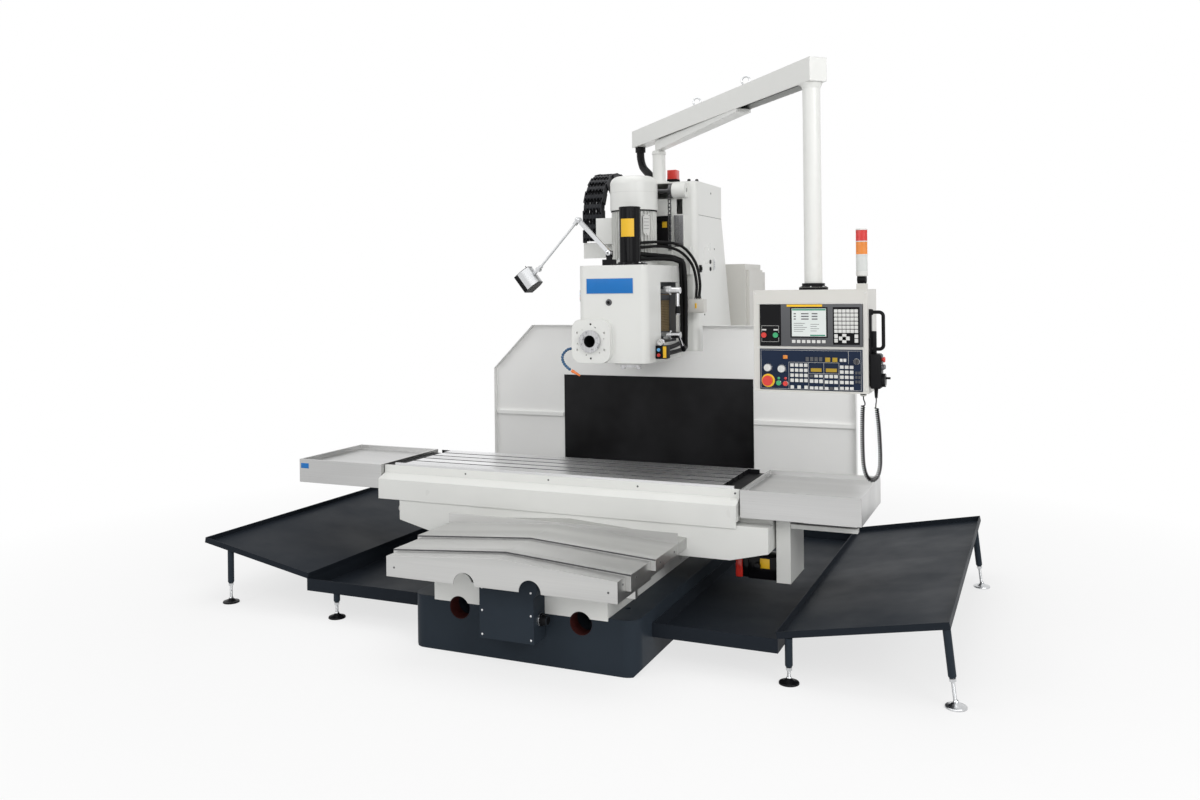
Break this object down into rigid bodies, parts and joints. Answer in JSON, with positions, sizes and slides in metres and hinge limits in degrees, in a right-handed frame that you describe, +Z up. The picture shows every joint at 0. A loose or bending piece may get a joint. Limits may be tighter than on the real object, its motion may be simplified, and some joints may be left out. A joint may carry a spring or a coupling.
{
  "type": "cnc bed milling machine",
  "caption": "Bed mill with T-slot table on a cross saddle, counterweighted head with horizontal and vertical spindles, chip trays, electrical cabinet and a control panel on a swivelling boom.",
  "frame": {"origin": "on the floor, on the centre line of the machine, under the middle of the saddle at rest", "axes": "+X right along the table seen from the front, +Y towards the column, +Z up"},
  "size_m": [4.0595, 3.458, 2.845],
  "materials": {
    "white_paint": "satin",
    "cream_paint": "satin",
    "blue_paint": "satin",
    "black_paint": "gloss",
    "ground_steel": "ground",
    "dark_steel": "oiled",
    "cast_iron": "scraped",
    "chrome": "polished",
    "aluminium": "anodised",
    "rubber": "matt",
    "black_plastic": "matt",
    "grey_plastic": "matt",
    "light_plastic": "matt",
    "blue_plastic": "gloss",
    "dark_blue_plastic": "matt",
    "red_plastic": "gloss",
    "green_plastic": "gloss",
    "orange_plastic": "translucent"
  },
  "bodies": {
    "machine": {"base_casting": "blue_paint", "way_end_plate": "cream_paint", "y_servo_cover": "blue_paint", "column_casting": "white_paint", "column_top_cover": "white_paint", "boom_post": "white_paint", "z_servo_motor": "black_paint", "back_wall": "white_paint", "rubber_curtain": "rubber", "electrical_cabinet": "cream_paint", "chip_trays": "blue_paint", "tray_legs": "blue_paint", "way_cover_front": "ground_steel", "junction_box": "cream_paint", "cable_conduit": "rubber", "column_hoses": "rubber", "drag_chain": "black_plastic", "lift_chain": "dark_steel"},
    "cover_mid": {"way_cover_mid": "ground_steel"},
    "saddle": {"saddle_casting": "white_paint", "x_servo_motor": "black_paint", "x_drive_cover": "white_paint", "way_cover_rear": "ground_steel"},
    "table_unit": {"table": "cast_iron", "apron": "white_paint", "end_trays": "ground_steel"},
    "head": {"head_casting": "white_paint", "spindle_motor": "white_paint", "drawbar_cylinder": "black_paint", "air_units": "black_plastic", "coolant_hose": "blue_plastic", "head_hoses": "rubber", "lamp_base": "black_plastic"},
    "horizontal_spindle": {"horizontal_spindle": "ground_steel"},
    "vertical_spindle": {"vertical_spindle": "ground_steel"},
    "upper_lever": {"upper_shift_lever": "chrome"},
    "lower_lever": {"lower_shift_lever": "chrome"},
    "lamp_lower_arm": {"lamp_lower_arm": "aluminium"},
    "lamp_upper_arm": {"lamp_upper_arm": "aluminium"},
    "lamp_head": {"lamp_head": "aluminium"},
    "counterweight": {"counterweight": "cast_iron"},
    "sprockets": {"chain_sprockets": "dark_steel"},
    "boom": {"boom_beam": "white_paint", "hanging_pole": "white_paint"},
    "panel": {"panel_box": "cream_paint", "display_unit": "grey_plastic", "operator_panel": "dark_blue_plastic", "pendant": "black_plastic", "curly_cord": "rubber", "signal_tower": "orange_plastic"},
    "power_off": {"power_off_button": "red_plastic"},
    "power_on": {"power_on_button": "green_plastic"},
    "stop": {"stop_button": "red_plastic"},
    "start": {"start_button": "green_plastic"},
    "hold": {"hold_button": "red_plastic"},
    "feed_knob": {"feed_knob": "light_plastic"},
    "speed_knob": {"speed_knob": "light_plastic"},
    "key": {"key_switch": "chrome"},
    "pendant_dial": {"pendant_dial": "grey_plastic"},
    "door": {"cabinet_door": "cream_paint"}
  },
  "joints": [
    {"name": "saddle_travel", "type": "slide", "parent": "machine", "child": "saddle", "axis": [0, 1, 0], "range_m": [-0.33, 0.2]},
    {"name": "cover_travel", "type": "slide", "parent": "machine", "child": "cover_mid", "axis": [0, 1, 0], "range_m": [-0.094, 0.058]},
    {"name": "table_travel", "type": "slide", "parent": "saddle", "child": "table_unit", "axis": [1, 0, 0], "range_m": [-0.505, 0.765]},
    {"name": "head_travel", "type": "slide", "parent": "machine", "child": "head", "axis": [0, 0, 1], "range_m": [-0.45, 0.12], "deforming": ["drag_chain", "lift_chain", "column_hoses"]},
    {"name": "counterweight_travel", "type": "slide", "parent": "machine", "child": "counterweight", "axis": [0, 0, 1], "range_m": [-0.12, 0.45]},
    {"name": "sprocket_turn", "type": "hinge", "parent": "machine", "child": "sprockets", "pos_m": [0, 0.957, 2.338], "axis": [1, 0, 0], "range_deg": [-173, 646]},
    {"name": "horizontal_spindle_turn", "type": "hinge", "parent": "head", "child": "horizontal_spindle", "pos_m": [-0.13, 0.244, 1.43], "axis": [0, 1, 0], "continuous": true},
    {"name": "vertical_spindle_turn", "type": "hinge", "parent": "head", "child": "vertical_spindle", "pos_m": [0, 0.56, 1.265], "axis": [0, 0, 1], "continuous": true},
    {"name": "upper_lever_turn", "type": "hinge", "parent": "head", "child": "upper_lever", "pos_m": [0.2, 0.588, 1.716], "axis": [1, 0, 0], "range_deg": [-35, 35]},
    {"name": "lower_lever_turn", "type": "hinge", "parent": "head", "child": "lower_lever", "pos_m": [0.2, 0.588, 1.455], "axis": [1, 0, 0], "range_deg": [-35, 35]},
    {"name": "lamp_base_pivot", "type": "hinge", "parent": "head", "child": "lamp_lower_arm", "pos_m": [-0.046, 0.352, 1.937], "axis": [0, 1, 0], "range_deg": [-12, 40]},
    {"name": "lamp_elbow", "type": "hinge", "parent": "lamp_lower_arm", "child": "lamp_upper_arm", "pos_m": [-0.24, 0.352, 2.135], "axis": [0, 1, 0], "range_deg": [-20, 30]},
    {"name": "lamp_tilt", "type": "hinge", "parent": "lamp_upper_arm", "child": "lamp_head", "pos_m": [-0.505, 0.352, 1.849], "axis": [0, 1, 0], "range_deg": [-35, 35]},
    {"name": "boom_swing", "type": "hinge", "parent": "machine", "child": "boom", "pos_m": [0, 1.075, 2.6], "axis": [0, 0, 1], "range_deg": [-60, 45], "deforming": ["cable_conduit"]},
    {"name": "panel_swivel", "type": "hinge", "parent": "boom", "child": "panel", "pos_m": [1.27425, -0.33031, 1.72], "axis": [0, 0, 1], "range_deg": [-90, 90]},
    {"name": "power_off_press", "type": "slide", "parent": "panel", "child": "power_off", "axis": [0, 1, 0], "range_m": [0, 0.003], "stiffness_N_per_m": 300, "springref_m": -0.002},
    {"name": "power_on_press", "type": "slide", "parent": "panel", "child": "power_on", "axis": [0, 1, 0], "range_m": [0, 0.003], "stiffness_N_per_m": 300, "springref_m": -0.002},
    {"name": "stop_press", "type": "slide", "parent": "panel", "child": "stop", "axis": [0, 1, 0], "range_m": [0, 0.004], "stiffness_N_per_m": 300, "springref_m": -0.002},
    {"name": "start_press", "type": "slide", "parent": "panel", "child": "start", "axis": [0, 1, 0], "range_m": [0, 0.003], "stiffness_N_per_m": 300, "springref_m": -0.002},
    {"name": "hold_press", "type": "slide", "parent": "panel", "child": "hold", "axis": [0, 1, 0], "range_m": [0, 0.003], "stiffness_N_per_m": 300, "springref_m": -0.002},
    {"name": "feed_knob_turn", "type": "hinge", "parent": "panel", "child": "feed_knob", "pos_m": [1.09325, -0.47431, 1.362], "axis": [0, 1, 0], "range_deg": [-140, 140]},
    {"name": "speed_knob_turn", "type": "hinge", "parent": "panel", "child": "speed_knob", "pos_m": [1.15725, -0.47431, 1.358], "axis": [0, 1, 0], "range_deg": [-140, 140]},
    {"name": "key_turn", "type": "hinge", "parent": "panel", "child": "key", "pos_m": [1.49225, -0.47431, 1.396], "axis": [0, 1, 0], "range_deg": [0, 90]},
    {"name": "pendant_dial_turn", "type": "hinge", "parent": "panel", "child": "pendant_dial", "pos_m": [1.60225, -0.42831, 1.312], "axis": [1, 0, 0], "continuous": true},
    {"name": "door_swing", "type": "hinge", "parent": "machine", "child": "door", "pos_m": [0.3733, 2.1743, 1.05], "axis": [0, 0, 1], "range_deg": [0, 110]}
  ],
  "couplings": [
    {"joint": "cover_travel", "follows": "saddle_travel", "ratio": 0.28},
    {"joint": "counterweight_travel", "follows": "head_travel", "ratio": -1},
    {"joint": "sprocket_turn", "follows": "head_travel", "rad_per_m": -25}
  ]
}
